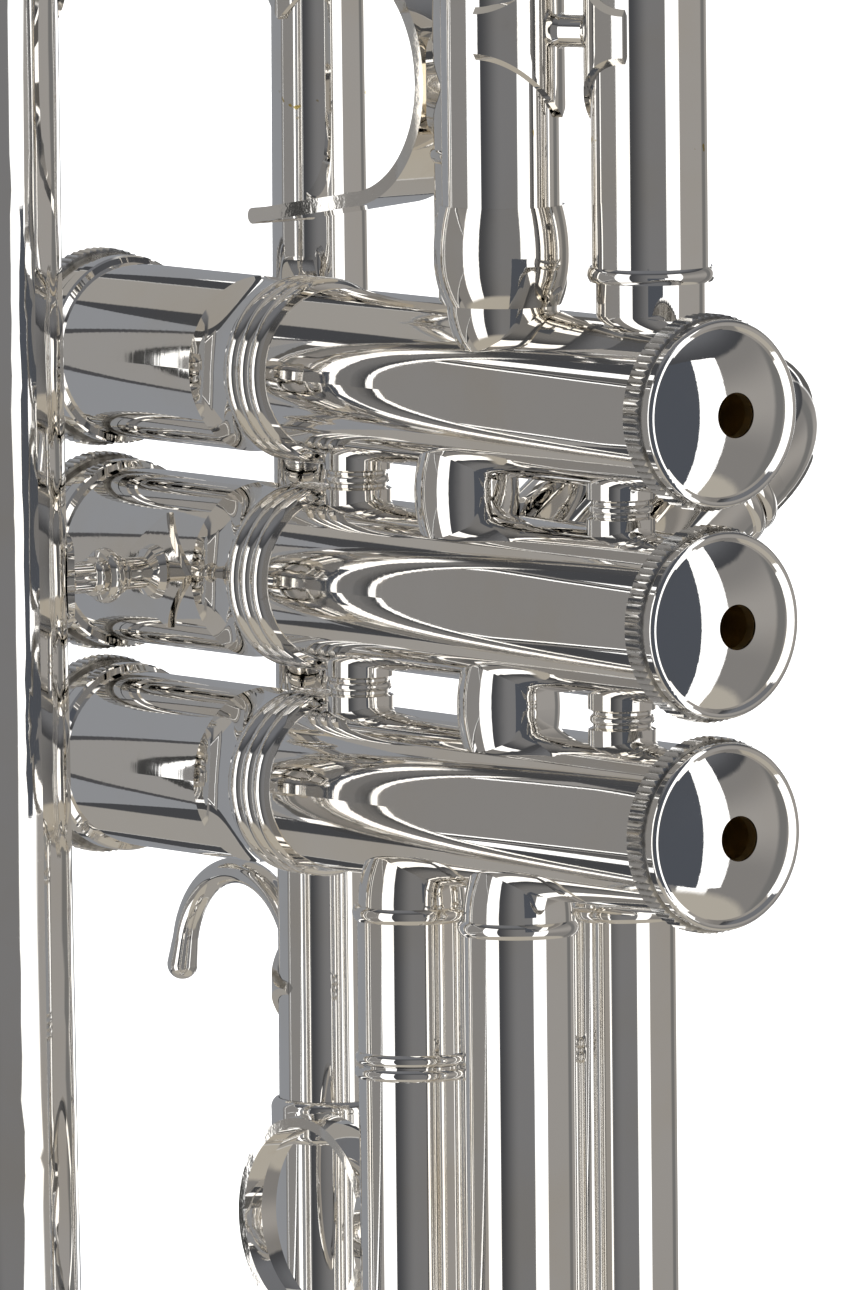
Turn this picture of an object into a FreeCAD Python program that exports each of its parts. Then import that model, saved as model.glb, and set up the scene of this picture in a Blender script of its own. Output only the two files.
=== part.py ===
import FreeCAD, Part
import math
import os
import re
import Sketcher

# A B-flat trumpet standing on its bell rim, in millimetres.  The origin is the centre of the rim, +Z runs up
# the bell towards the mouthpiece, +X towards the bottom caps of the valves and +Y towards the leadpipe.

V = FreeCAD.Vector
ORIGIN = V(0, 0, 0)
X_AXIS = V(1, 0, 0)
Y_AXIS = V(0, 1, 0)
Z_AXIS = V(0, 0, 1)

SIZES = {
    # valve block
    "valve_spacing": 25.0, "valve_line_y": 34.0, "middle_valve_z": 275.0, "cap_face_x": 100.0,
    "lower_barrel": 10.2, "upper_barrel": 10.65, "valve_bore": 8.45, "running_gap": 0.05,
    "band_start": 78.4, "bead_width": 2.27, "bead_root": 10.6, "bead_arc": 1.3, "cove_end": 92.4, "cove_arc": 11.0,
    "ring_start": 118.5, "ring_end": 121.0, "ring_radius": 11.5, "casing_top": 125.0, "top_thread": 10.35,
    "casing_foot": 4.0, "foot_thread": 9.7, "shoulder": 7.4, "port_radius": 4.8, "foot_radius": 5.05,
    "keyway_width": 2.6, "keyway_reach": 9.6, "guide_seat": 87.9,
    # caps
    "cap_back": 7.3, "cap_knurl_front": 3.9, "knurl_outer": 11.65, "cap_rim": 11.15, "cap_rim_face": 2.3,
    "dome_edge": 10.0, "dome_arc": 19.0, "vent_radius": 2.7, "cap_floor": 1.7, "tooth_count": 76, "tooth_depth": 0.36,
    "top_knurl_start": 123.0, "top_knurl_end": 126.2, "top_knurl_outer": 12.1, "top_face": 129.0, "stem_hole": 2.6,
    # piston, stem and button
    "piston_foot": 24.0, "piston_top": 124.0, "barrel_floor": 72.0, "barrel_bore": 7.4, "plate_under": 121.0,
    "piston_travel": 16.0, "guide_thickness": 2.4, "stem_radius": 2.1, "button_radius": 9.0, "pearl_radius": 6.9,
    "spring_radius": 5.9, "spring_wire": 0.4, "spring_turns": 9,
    # sliding tubes
    "slide_outer": 6.75, "slide_bore": 6.2, "leg_outer": 6.15, "leg_bore": 5.75, "bow_outer": 6.6,
    "first_outer": 7.05, "knuckle": 6.6,
    "crossing_outer": 6.3, "crossing_arc": 17.5, "crossing_y": -1.5, "crossing_high_x": 49.7, "crossing_low_x": 41.8,
    "spool_radius": 4.1, "spool_low_x": 22.0, "spool_high_x": 73.0,
    # third slide, below the third valve
    "third_x_upper": 60.4, "third_x_lower": 39.9, "third_y": -2.0, "third_collar_z": 218.0, "third_sleeve_end_z": 186.0,
    "third_bow_z": 176.0, "third_leg_top_z": 236.0, "third_band_z": 237.2,
    "ring_outer": 13.0, "ring_inner": 11.4, "ring_width": 4.8, "finger_ring_z": 197.0,
    # first slide, above the first valve
    "first_x_upper": 54.0, "first_y_upper": 6.2, "first_x_lower": 22.7, "first_y_lower": 5.5,
    "first_joint_z": 326.5, "first_band_z": 314.1, "first_lower_end_z": 372.0, "first_bow_z": 382.0,
    "saddle_z": 335.5, "saddle_outer": 15.6, "saddle_strap": 1.7, "saddle_width": 9.0, "saddle_arm": 21.0,
    "saddle_droop": 9.0,
    # second slide, on the far side of the middle valve
    "second_x_upper": 47.0, "second_x_lower": 25.0, "second_tilt": 37.0, "second_sleeve_end": 22.0,
    "second_leg_start": 11.0, "second_bow_at": 26.2,
    # bell and its bow
    "rim_radius": 61.5, "throat_radius": 7.4, "flare_depth": 24.0, "flare_power": 1.6, "bell_wall": 0.6,
    "rim_bead": 1.5, "bell_top_z": 362.0, "tail_x": 39.8, "tail_y": -3.45, "tail_outer": 7.15,
    "bell_bow_outer": 7.6, "tail_ferrule_low_z": 310.8, "tail_ferrule_high_z": 322.7, "tail_ferrule_belly": 8.2,
    # leadpipe and main tuning slide
    "leadpipe_x": 104.0, "leadpipe_y": 18.5, "leadpipe_near": 6.0, "leadpipe_far": 5.2, "leadpipe_end_z": 203.0,
    "leadpipe_top_z": 448.0, "receiver_top_z": 484.0, "tuning_x": 46.0, "tuning_sleeve_end_z": 150.0,
    "tuning_bow_z": 125.0, "tuning_elbow": 9.0, "tuning_leg_top_z": 196.0, "tuning_brace_z": 138.0,
    # braces, hook and mouthpiece
    "flange_wall": 0.8, "diamond_half": 9.0, "brace_post": 1.95, "tail_brace_z": 343.5, "tail_diamond_half": 10.3,
    "front_brace_z": 172.0,    "rear_brace_z": 348.0, "bell_post_x": 99.0, "hook_z": 222.8, "hook_bend": 11.5,
    "hook_wire": 1.6, "hook_end": 1.9, "hook_tip": 3.6, "hook_sweep": 168.0,
    "mouthpiece_seat_z": 460.0, "mouthpiece_length": 87.0, "mouthpiece_rim": 13.6, "cup_radius": 8.25,
}

doc = FreeCAD.newDocument("Trumpet")
sheet = doc.addObject("Spreadsheet::Sheet", "Sizes")
for row, (alias, number) in enumerate(SIZES.items(), start=1):
    sheet.set(f"A{row}", alias)
    sheet.set(f"B{row}", str(number))
    sheet.setAlias(f"B{row}", alias)
doc.recompute()


def formula(text):
    """Turns the plain names in a size into references to the sheet."""
    return re.sub("[a-z_]+", lambda word: "Sizes." + word[0] if word[0] in SIZES else word[0], str(text))


def size(text):
    """The number that a size stands for now."""
    return float(sheet.evalExpression(formula(text)))


def bind(thing, **sizes):
    """Binds an object's properties to the sheet."""
    for name, text in sizes.items():
        thing.setExpression(name, formula(text))
    return thing


def placed(place, x_axis=X_AXIS, y_axis=Y_AXIS):
    """A placement at a point, with the local X and Y axes turned to the given directions."""
    x_dir = V(x_axis).normalize()
    z_dir = x_dir.cross(y_axis).normalize()
    y_dir = z_dir.cross(x_dir)
    rows = (x_dir.x, y_dir.x, z_dir.x, place.x, x_dir.y, y_dir.y, z_dir.y, place.y,
            x_dir.z, y_dir.z, z_dir.z, place.z, 0, 0, 0, 1)
    return FreeCAD.Placement(FreeCAD.Matrix(*rows))


def along(place, direction):
    """A placement at a point, with the local X axis along a direction."""
    side = Y_AXIS if abs(V(direction).normalize().y) < 0.9 else Z_AXIS
    return placed(place, direction, side)


def upright(place, direction):
    """A placement at a point, with the local Z axis along a direction."""
    return along(place, direction) * FreeCAD.Placement(ORIGIN, FreeCAD.Rotation(Y_AXIS, 90))


def origin_plane(body, role):
    for feature in body.Origin.OriginFeatures:
        if feature.Role == role:
            return feature


def arc_centre(start, end, radius, side):
    """The centre of an arc in the sketch plane; side +1 bulges to the left of start to end."""
    middle = (start + end) * 0.5
    half = (end - start).Length / 2
    direction = (end - start).normalize()
    left = V(-direction.y, direction.x, 0)
    return middle - left * (side * math.sqrt(max(radius * radius - half * half, 0)))


def turned(name, place, profile):
    """A body turned about its local X axis.

    Each profile entry is (along, radius) for a straight edge to that point, or (along, radius, arc, side) for an
    arc of that radius.  The outline closes on its first point.
    """
    body = doc.addObject("PartDesign::Body", name)
    sketch = body.newObject("Sketcher::SketchObject", name + "_outline")
    sketch.AttachmentSupport = [(origin_plane(body, "XY_Plane"), "")]
    sketch.MapMode = "FlatFace"
    points = [V(size(entry[0]), size(entry[1]), 0) for entry in profile]
    count = len(profile)
    starts = []
    for index in range(count):
        start = points[index - 1]
        end = points[index]
        if len(profile[index]) == 2:
            sketch.addGeometry(Part.LineSegment(start, end), False)
            starts.append((1, 2))
        else:
            radius = size(profile[index][2])
            side = profile[index][3]
            centre = arc_centre(start, end, radius, side)
            first, last = (end, start) if side > 0 else (start, end)
            first_angle = math.atan2(first.y - centre.y, first.x - centre.x)
            last_angle = math.atan2(last.y - centre.y, last.x - centre.x)
            circle = Part.Circle(centre, Z_AXIS, radius)
            sketch.addGeometry(Part.ArcOfCircle(circle, first_angle, last_angle), False)
            starts.append((2, 1) if side > 0 else (1, 2))
    for index in range(count):
        following = (index + 1) % count
        link = Sketcher.Constraint("Coincident", index, starts[index][1], following, starts[following][0])
        sketch.addConstraint(link)
        for kind, text in (("DistanceX", profile[index][0]), ("DistanceY", profile[index][1])):
            number = size(text)
            rule = sketch.addConstraint(Sketcher.Constraint(kind, -1, 1, index, starts[index][1], number))
            sketch.setExpression(f"Constraints[{rule}]", formula(text))
        if len(profile[index]) == 4:
            rule = sketch.addConstraint(Sketcher.Constraint("Radius", index, size(profile[index][2])))
            sketch.setExpression(f"Constraints[{rule}]", formula(profile[index][2]))
    turn = body.newObject("PartDesign::Revolution", name + "_turn")
    turn.Profile = sketch
    turn.ReferenceAxis = (sketch, ["H_Axis"])
    turn.Angle = 360
    body.Placement = place
    return body


def cylinder(name, place, direction, radius, length):
    rod = bind(doc.addObject("Part::Cylinder", name), Radius=radius, Height=length)
    rod.Placement = upright(place, direction)
    return rod


def block(name, place, length, width, height):
    """A box centred on its placement."""
    box = bind(doc.addObject("Part::Box", name), Length=length, Width=width, Height=height)
    back = V(-size(length) / 2, -size(width) / 2, -size(height) / 2)
    box.Placement = place * FreeCAD.Placement(back, FreeCAD.Rotation())
    return box


def ball(name, place, radius):
    sphere = bind(doc.addObject("Part::Sphere", name), Radius=radius)
    sphere.Placement = FreeCAD.Placement(place, FreeCAD.Rotation())
    return sphere


def ring_arc(name, place, bend, radius, angle=180):
    """Part of a torus, swept from the local X axis about the local Z axis."""
    torus = bind(doc.addObject("Part::Torus", name), Radius1=bend, Radius2=radius, Angle3=str(angle))
    torus.Placement = place
    return torus


def cut(name, base, *tools):
    for index, tool in enumerate(tools):
        step = doc.addObject("Part::Cut", f"{name}_cut_{index}")
        step.Base = base
        step.Tool = tool
        base = step
    return base


def fuse(name, *shapes):
    joined = doc.addObject("Part::MultiFuse", name)
    joined.Shapes = list(shapes)
    return joined


def common(name, first, second):
    step = doc.addObject("Part::Common", name)
    step.Base = first
    step.Tool = second
    return step


def built(name, shape, place=None):
    """A sub-part whose shape is worked out directly from the sheet's sizes."""
    feature = doc.addObject("Part::Feature", name)
    feature.Shape = shape
    if place is not None:
        feature.Placement = place
    return feature


NODES = {}


def sub_part(label, thing):
    """Names the finished object of one physical piece."""
    thing.Label = label
    NODES[label] = thing
    return thing


def row_point(across, side, height):
    """A point from its distance behind the cap faces, its offset from the valve plane and its height."""
    return V(size("cap_face_x") - size(across), size("valve_line_y") + size(side), size(height))


def valve_height(number):
    return size("middle_valve_z") + (2 - number) * size("valve_spacing")


def valve_place(number):
    """The valve's own frame: local X runs from the bottom cap's face up to the finger button."""
    return placed(V(size("cap_face_x"), size("valve_line_y"), valve_height(number)), -X_AXIS, -Y_AXIS)


def casing_rod(name, number, radius="lower_barrel", start="shoulder"):
    """A solid rod as thick as the casing, which shapes the end of a tube soldered to it."""
    place = valve_place(number).multVec(V(size(start), 0, 0))
    return cylinder(name, place, -X_AXIS, radius, "casing_top")


def pipe(name, start, end, outer, bore):
    """A straight tube between two points."""
    reach = end - start
    profile = [("0", bore), ("0", outer), (str(reach.Length), outer), (str(reach.Length), bore)]
    return turned(name, along(start, reach), profile)


def star_prism(radius, depth, count, length):
    """The toothed edge of a knurled cap, extruded along X."""
    corners = []
    for index in range(2 * count):
        reach = radius if index % 2 == 0 else radius - depth
        angle = math.pi * index / count
        corners.append(V(0, reach * math.cos(angle), reach * math.sin(angle)))
    face = Part.Face(Part.makePolygon(corners + corners[:1]))
    return face.extrude(V(length, 0, 0))


def knurled(name, place, radius, start, end):
    """A ring of V-shaped teeth with its corners eased."""
    length = size(end) - size(start)
    teeth = star_prism(size(radius), size("tooth_depth"), int(size("tooth_count")), length)
    prism = built(name + "_teeth", teeth, place * FreeCAD.Placement(V(size(start), 0, 0), FreeCAD.Rotation()))
    eased = turned(name + "_eased", place, [
        (start, "foot_thread + 0.9"), (start, radius + " - 0.5"), (start + " + 0.6", radius),
        (end + " - 0.6", radius), (end, radius + " - 0.5"), (end, "foot_thread + 0.9")])
    return common(name + "_ring", prism, eased)


# ---------------------------------------------------------------- valve casings
def casing(number):
    """A drawn barrel with a threaded foot, a band of three beads, a cove and a ring under the top cap."""
    name = f"casing_{number}"
    place = valve_place(number)
    bead_end = [f"band_start + {step} * bead_width" for step in (0, 1, 2, 3)]
    profile = [
        ("casing_foot", "valve_bore"), ("casing_foot", "foot_thread"), ("shoulder", "foot_thread"),
        ("shoulder", "lower_barrel"), (bead_end[0], "lower_barrel"), (bead_end[0], "bead_root"),
        (bead_end[1], "bead_root", "bead_arc", 1), (bead_end[2], "bead_root", "bead_arc", 1),
        (bead_end[3], "bead_root", "bead_arc", 1), (bead_end[3] + " + 0.3", "bead_root"),
        ("cove_end", "upper_barrel", "cove_arc", -1),
        ("ring_start", "upper_barrel"), ("ring_start + 0.3", "ring_radius - 0.2"), ("ring_start + 0.6", "ring_radius"),
        ("ring_end - 0.4", "ring_radius"), ("ring_end", "ring_radius - 0.3"), ("ring_end", "top_thread"),
        ("casing_top", "top_thread"), ("casing_top", "valve_bore")]
    barrel = turned(name + "_barrel", place, profile)
    middle = place.multVec(V((size("guide_seat") + size("casing_top")) / 2, 0, 0))
    keyway = block(name + "_keyway", placed(middle), "casing_top - guide_seat + 0.01", "keyway_width",
                   "2 * keyway_reach")
    ports = []
    for index, (across, side, direction) in enumerate(PORTS[number]):
        start = place.multVec(V(size(across), -size(side), 0))
        ports.append(cylinder(f"{name}_port_{index}", start, direction, "port_radius", "lower_barrel + 4"))
    return sub_part(f"valve_casing_{number}", cut(name, barrel, keyway, *ports))


SECOND_WAY = V(0, math.cos(math.radians(size("second_tilt"))), math.sin(math.radians(size("second_tilt"))))
PORTS = {
    1: (("tail_x", "tail_y", Z_AXIS), ("first_x_upper", "first_y_upper", Z_AXIS),
        ("first_x_lower", "first_y_lower", Z_AXIS), ("crossing_high_x", "crossing_y", -Z_AXIS)),
    2: (("crossing_high_x", "crossing_y", Z_AXIS), ("crossing_low_x", "crossing_y", -Z_AXIS),
        ("second_x_upper", "0", SECOND_WAY), ("second_x_lower", "0", SECOND_WAY)),
    3: (("crossing_low_x", "crossing_y", Z_AXIS), ("third_x_upper", "third_y", -Z_AXIS),
        ("third_x_lower", "third_y", -Z_AXIS), ("tuning_x", "0", Y_AXIS)),
}
VALVES = (1, 2, 3)
for valve in VALVES:
    casing(valve)


# ---------------------------------------------------------------- screwed caps
def bottom_cap(number):
    """A knurled cap with a domed face and a vent hole."""
    name = f"bottom_cap_{number}"
    place = valve_place(number)
    shell = turned(name + "_shell", place, [
        ("cap_back", "foot_thread + running_gap"), ("cap_back", "knurl_outer - 0.6"),
        ("cap_knurl_front", "knurl_outer - 0.6"), ("cap_knurl_front", "cap_rim"), ("cap_rim_face + 0.5", "cap_rim"),
        ("cap_rim_face", "cap_rim - 0.5", "0.5", -1), ("cap_rim_face", "dome_edge + 0.4"),
        ("cap_rim_face + 0.35", "dome_edge"), ("0", "vent_radius", "dome_arc", -1),
        ("cap_floor", "vent_radius"), ("cap_floor + 0.5", "foot_thread - 1"), ("casing_foot - 0.3", "foot_thread - 0.8"),
        ("casing_foot - 0.3", "foot_thread + running_gap")])
    ring = knurled(name, place, "knurl_outer", "cap_knurl_front", "cap_back")
    return fuse(name, shell, ring)


def top_cap(number):
    """A knurled cap whose domed face has the hole that the stem runs in."""
    name = f"top_cap_{number}"
    place = valve_place(number)
    shell = turned(name + "_shell", place, [
        ("ring_end + 0.1", "top_thread + running_gap"), ("ring_end + 0.1", "top_thread + 0.9"),
        ("top_knurl_start", "top_thread + 0.9"), ("top_knurl_start", "top_knurl_outer - 0.6"),
        ("top_knurl_end", "top_knurl_outer - 0.6"), ("top_knurl_end", "top_knurl_outer - 0.9"),
        ("top_face - 0.4", "top_knurl_outer - 5.2", "9", 1), ("top_face", "top_knurl_outer - 5.8"),
        ("top_face", "stem_hole"), ("top_face - 2", "stem_hole"), ("top_face - 2", "top_thread - 0.9"),
        ("casing_top + 0.2", "top_thread - 0.9"),
        ("casing_top + 0.2", "top_thread + running_gap")])
    ring = knurled(name, place, "top_knurl_outer", "top_knurl_start", "top_knurl_end")
    return fuse(name, shell, ring)


for valve in VALVES:
    sub_part(f"bottom_cap_{valve}", bottom_cap(valve))
top_caps = doc.addObject("Part::Compound", "top_caps")
top_caps.Links = [top_cap(valve) for valve in VALVES]
sub_part("top_caps", top_caps)


# ---------------------------------------------------------------- pistons and what rides on them
def piston(number):
    """A ported piston with a slotted spring barrel on top."""
    name = f"piston_{number}"
    place = valve_place(number)
    outer = "valve_bore - running_gap"
    profile = [
        ("piston_foot", "1.6"), ("piston_foot", outer + " - 0.5"), ("piston_foot + 0.5", outer), ("piston_top", outer),
        ("piston_top", "stem_radius + running_gap"), ("plate_under", "stem_radius + running_gap"),
        ("plate_under", "barrel_bore"), ("barrel_floor", "barrel_bore"), ("barrel_floor", "1.6")]
    barrel = turned(name + "_barrel", place, profile)
    middle_port = (size("crossing_high_x") + size("crossing_low_x")) / 2
    bores = []
    for index, (shift, turn) in enumerate(((0, 0), (14, 40), (-14, -40))):
        way = V(0, math.sin(math.radians(turn)), math.cos(math.radians(turn)))
        start = place.multVec(V(middle_port + shift, 0, 0)) - way * 12
        bores.append(cylinder(f"{name}_bore_{index}", start, way, "port_radius - 0.2", "24"))
    slot_length = size("piston_travel") + size("guide_thickness") + 0.9
    slot_middle = place.multVec(V(size("guide_seat") - 0.3 + slot_length / 2, 0, 0))
    slot = block(name + "_slot", placed(slot_middle), str(slot_length), "keyway_width", "2 * valve_bore")
    return sub_part(f"piston_{number}", cut(name, barrel, slot, *bores))


def guide(number):
    """A disc with two keys that stand in the casing's keyways and stop the piston turning."""
    name = f"guide_{number}"
    place = valve_place(number)
    disc = turned(name + "_disc", place, [
        ("guide_seat", "1.2"), ("guide_seat", "barrel_bore - 0.3"),
        ("guide_seat + guide_thickness", "barrel_bore - 0.3"), ("guide_seat + guide_thickness", "1.2")])
    middle = place.multVec(V(size("guide_seat + guide_thickness / 2"), 0, 0))
    keys = block(name + "_keys", placed(middle), "guide_thickness", "keyway_width - 0.3", "2 * keyway_reach - 0.2")
    hole = cylinder(name + "_hole", place.multVec(V(size("guide_seat") - 1, 0, 0)), -X_AXIS, "1.2", "6")
    return cut(name, fuse(name + "_whole", disc, keys), hole)


def spring(number):
    """The return spring between the guide and the top plate of the piston: each turn is a level half and a
    sloping half, which meet in line."""
    start = size("guide_seat") + size("guide_thickness") + size("spring_wire") + 0.1
    turns = int(size("spring_turns"))
    pitch = (size("plate_under") - size("spring_wire") - 0.1 - start) / turns
    reach = size("spring_radius")
    halves = []
    for turn in range(turns):
        level = V(0, 0, turn * pitch)
        flat_half = Part.makeTorus(reach, size("spring_wire"), ORIGIN, Z_AXIS, -180, 180, 180)
        flat_half.Placement = placed(level)
        slope = V(reach, 0, pitch / 2)
        rising_half = Part.makeTorus(slope.Length, size("spring_wire"), ORIGIN, Z_AXIS, -180, 180, 180)
        rising_half.Placement = placed(level + Z_AXIS * (pitch / 2), slope, -Y_AXIS)
        halves += [flat_half, rising_half]
    coil = halves[0].multiFuse(halves[1:])
    place = valve_place(number) * FreeCAD.Placement(V(start, 0, 0), FreeCAD.Rotation(Y_AXIS, 90))
    return sub_part(f"valve_spring_{number}", built(f"spring_{number}", coil, place))


def stem(number):
    """The rod that joins the piston to its button, with the shoulder that the top felt lies on."""
    end = "top_face + piston_travel + 4.6"
    body = turned(f"stem_{number}", valve_place(number), [
        ("plate_under", "0"), ("plate_under", "stem_radius"), ("piston_top", "stem_radius"), ("piston_top", "6.3"),
        ("piston_top + 0.8", "6.3"), ("piston_top + 0.8", "stem_radius"), (end, "stem_radius"), (end, "0")])
    return sub_part(f"valve_stem_{number}", body)


def felts(number):
    """The felt under the top cap, and the one under the button that ends the stroke."""
    place = valve_place(number)
    rings = []
    low_start = "top_face + piston_travel + 0.25"
    for index, (start, end, outer) in enumerate((
            ("piston_top + 0.8", "piston_top + 2.8", "6.2"), (low_start, low_start + " + 1.6", "5.2"))):
        rings.append(turned(f"felt_{number}_{index}", place, [
            (start, "stem_radius + running_gap"), (start, outer), (end, outer), (end, "stem_radius + running_gap")]))
    group = doc.addObject("Part::Compound", f"felts_{number}")
    group.Links = rings
    return sub_part(f"stem_felts_{number}", group)


def button(number):
    """A turned finger button with a recess for its pearl."""
    low = "top_face + piston_travel + 1.9"
    body = turned(f"button_{number}", valve_place(number), [
        (low, "stem_radius + running_gap"), (low, "3.4"), (low + " + 1.5", "3.4"),
        (low + " + 2.7", "button_radius - 0.4", "9", -1), (low + " + 3.3", "button_radius", "0.8", 1),
        (low + " + 4.6", "button_radius - 0.3", "2", 1), (low + " + 4.9", "pearl_radius + 0.6"),
        (low + " + 4.6", "pearl_radius + running_gap"), (low + " + 3.4", "pearl_radius + running_gap"),
        (low + " + 3.4", "0"), (low + " + 2.8", "0"), (low + " + 2.8", "stem_radius + running_gap")])
    return sub_part(f"finger_button_{number}", body)


def pearl(number):
    """The pearl disc, slightly dished for the fingertip."""
    low = "top_face + piston_travel + 5.35"
    body = turned(f"pearl_{number}", valve_place(number), [
        (low, "0"), (low, "pearl_radius - 0.1"), (low + " + 1.4", "pearl_radius - 0.1"),
        (low + " + 1.7", "pearl_radius - 0.5"), (low + " + 1.2", "0.8", "40", -1), (low + " + 1.2", "0")])
    return sub_part(f"button_pearl_{number}", body)


for valve in VALVES:
    for make in (piston, spring, stem, felts, button, pearl):
        make(valve)
guides = doc.addObject("Part::Compound", "guides")
guides.Links = [guide(valve) for valve in VALVES]
sub_part("valve_guides", guides)


# ---------------------------------------------------------------- tubes between the valves
def crossing_tube(upper, across):
    """A short tube between two neighbouring casings."""
    name = f"crossing_{upper}"
    start = row_point(across, "crossing_y", str(valve_height(upper + 1)))
    tube = turned(name + "_tube", along(start, Z_AXIS), [
        ("6", "port_radius"), ("6", "foot_radius"), ("valve_spacing / 2", "crossing_outer", "crossing_arc", 1),
        ("valve_spacing - 6", "foot_radius", "crossing_arc", 1), ("valve_spacing - 6", "port_radius")])
    rods = [casing_rod(f"{name}_rod_{number}", number) for number in (upper, upper + 1)]
    return sub_part(f"crossing_tube_{upper}_{upper + 1}", cut(name, tube, *rods))


crossing_tube(1, "crossing_high_x")
crossing_tube(2, "crossing_low_x")


def spool(upper, across, index):
    """A turned spool soldered between two casings."""
    name = f"spool_{upper}_{index}"
    start = row_point(across, "0", str(valve_height(upper + 1)))
    half = "valve_spacing / 2"
    body = turned(name + "_turned", along(start, Z_AXIS), [
        ("5", "0"), ("5", "spool_radius"), (half + " - 1.2", "spool_radius"), (half + " - 0.9", "spool_radius - 0.6"),
        (half + " - 0.6", "spool_radius - 0.6"), (half + " + 0.6", "spool_radius - 0.6", "0.65", 1),
        (half + " + 0.9", "spool_radius - 0.6"), (half + " + 1.2", "spool_radius"),
        ("valve_spacing - 5", "spool_radius"), ("valve_spacing - 5", "0")])
    rods = [casing_rod(f"{name}_rod_{number}", number) for number in (upper, upper + 1)]
    return cut(name, body, *rods)


spools = doc.addObject("Part::Compound", "spools")
spools.Links = [spool(upper, across, index) for upper in (1, 2)
                for index, across in enumerate(("spool_low_x", "spool_high_x"))]
sub_part("casing_spools", spools)


# ---------------------------------------------------------------- slide tubes soldered to the casings
def soldered(name, start, way, profile, number, *neighbours):
    """A turned tube whose near end is shaped to the casing, and to any neighbour, that it is soldered to."""
    tube = turned(name + "_tube", along(start, way), profile)
    return cut(name, tube, casing_rod(name + "_rod", number), *neighbours)


def leg_profile(foot, band_at, outer, bore, end):
    """The foot on the casing, a small bead where the drawn tube starts, and the tube itself."""
    return [*foot, (band_at, outer + " + 0.25"),
            (band_at + " + 1.8", outer + " + 0.25", "1.4", 1), (band_at + " + 1.8", outer), (end, outer), (end, bore)]


third_low = str(valve_height(3))
third_foot = [("6", "port_radius"), ("6", "foot_radius"), (f"{third_low} - third_band_z", "knuckle", "15.6", 1)]
third_top = row_point("third_x_upper", "third_y", third_low)
upper_tube = turned("third_upper_tube", along(third_top, -Z_AXIS), [
    *third_foot,
    (f"{third_low} - third_band_z", "slide_outer + 0.25"),
    (f"{third_low} - third_band_z + 1.8", "slide_outer + 0.25", "1.4", 1),
    (f"{third_low} - third_band_z + 1.8", "slide_outer"), (f"{third_low} - third_collar_z - 1.6", "slide_outer"),
    (f"{third_low} - third_collar_z - 0.1", "slide_outer", "0.95", 1),
    (f"{third_low} - third_collar_z - 0.1", "leg_outer"), (f"{third_low} - third_sleeve_end_z", "leg_outer"),
    (f"{third_low} - third_sleeve_end_z", "leg_bore"), (f"{third_low} - third_band_z", "leg_bore")])
sub_part("third_slide_upper_tube", cut("third_upper", upper_tube, casing_rod("third_upper_rod", 3)))
lower_profile = leg_profile(third_foot, f"{third_low} - third_band_z", "slide_outer", "slide_bore",
                            f"{third_low} - third_sleeve_end_z") + [(f"{third_low} - third_band_z", "slide_bore")]
sub_part("third_slide_lower_tube", soldered(
    "third_lower", row_point("third_x_lower", "third_y", third_low), -Z_AXIS, lower_profile, 3))

first_high = str(valve_height(1))
first_upper_at = row_point("first_x_upper", "first_y_upper", first_high)
first_lower_at = row_point("first_x_lower", "first_y_lower", first_high)
upper_tube = turned("first_upper_tube", along(first_upper_at, Z_AXIS), [
    ("4", "leg_bore"), ("4", "knuckle"), (f"first_band_z - {first_high}", "knuckle"),
    (f"first_band_z - {first_high}", "first_outer"), (f"first_joint_z - {first_high} - 0.1", "first_outer"),
    (f"first_joint_z - {first_high} - 0.1", "leg_outer"), (f"first_lower_end_z - {first_high}", "leg_outer"),
    (f"first_lower_end_z - {first_high}", "leg_bore")])
sub_part("first_slide_upper_tube", cut("first_upper", upper_tube, casing_rod("first_upper_rod", 1)))
first_foot = [("3", "slide_bore"), ("3", "knuckle"), (f"first_band_z - {first_high}", "knuckle")]
lower_profile = leg_profile(first_foot, f"first_band_z - {first_high}", "first_outer", "slide_bore",
                            f"first_lower_end_z - {first_high}")
sub_part("first_slide_lower_tube", soldered("first_lower", first_lower_at, Z_AXIS, lower_profile, 1))

second_foot = [("5", "slide_bore"), ("5", "bow_outer"), ("second_sleeve_end - 1.9", "bow_outer")]
second_tubes = doc.addObject("Part::Compound", "second_tubes")
second_tubes.Links = [
    soldered(f"second_{index}", row_point(across, "0", "middle_valve_z"), SECOND_WAY,
             leg_profile(second_foot, "second_sleeve_end - 1.9", "bow_outer", "slide_bore", "second_sleeve_end"),
             2, cylinder(f"second_{index}_neighbour", row_point(beside, side, "middle_valve_z"), Z_AXIS, reach, "25"))
    for index, (across, beside, side, reach) in enumerate((
        ("second_x_upper", "crossing_high_x", "crossing_y", "crossing_outer + 0.02"),
        ("second_x_lower", "spool_low_x", "0", "spool_radius + 0.02")))]
sub_part("second_slide_tubes", second_tubes)


# ---------------------------------------------------------------- the moving slides
def bow(name, first, second, way, radius="bow_outer", bore="leg_bore"):
    """A half-round bow from one leg to the other, on the side that way points to."""
    across = second - first
    middle = (first + second) * 0.5
    bend = str(across.Length / 2)
    place = placed(middle, across, way)
    outer = ring_arc(name + "_outer", place, bend, radius)
    return outer, ring_arc(name + "_bore", place, bend, bore)


def slide(label, first, second, way, first_leg, second_leg):
    """Two legs, given as profiles along way that end at the bow's start, and the bow that joins them."""
    outer, bore = bow(label + "_bow", first, second, way)
    legs = []
    for index, (point, profile) in enumerate(((first, first_leg), (second, second_leg))):
        legs.append(turned(f"{label}_leg_{index}", along(point, way), profile))
    shell = cut(label + "_shell", outer, bore)
    return sub_part(label, fuse(label + "_joined", shell, *legs))


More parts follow.
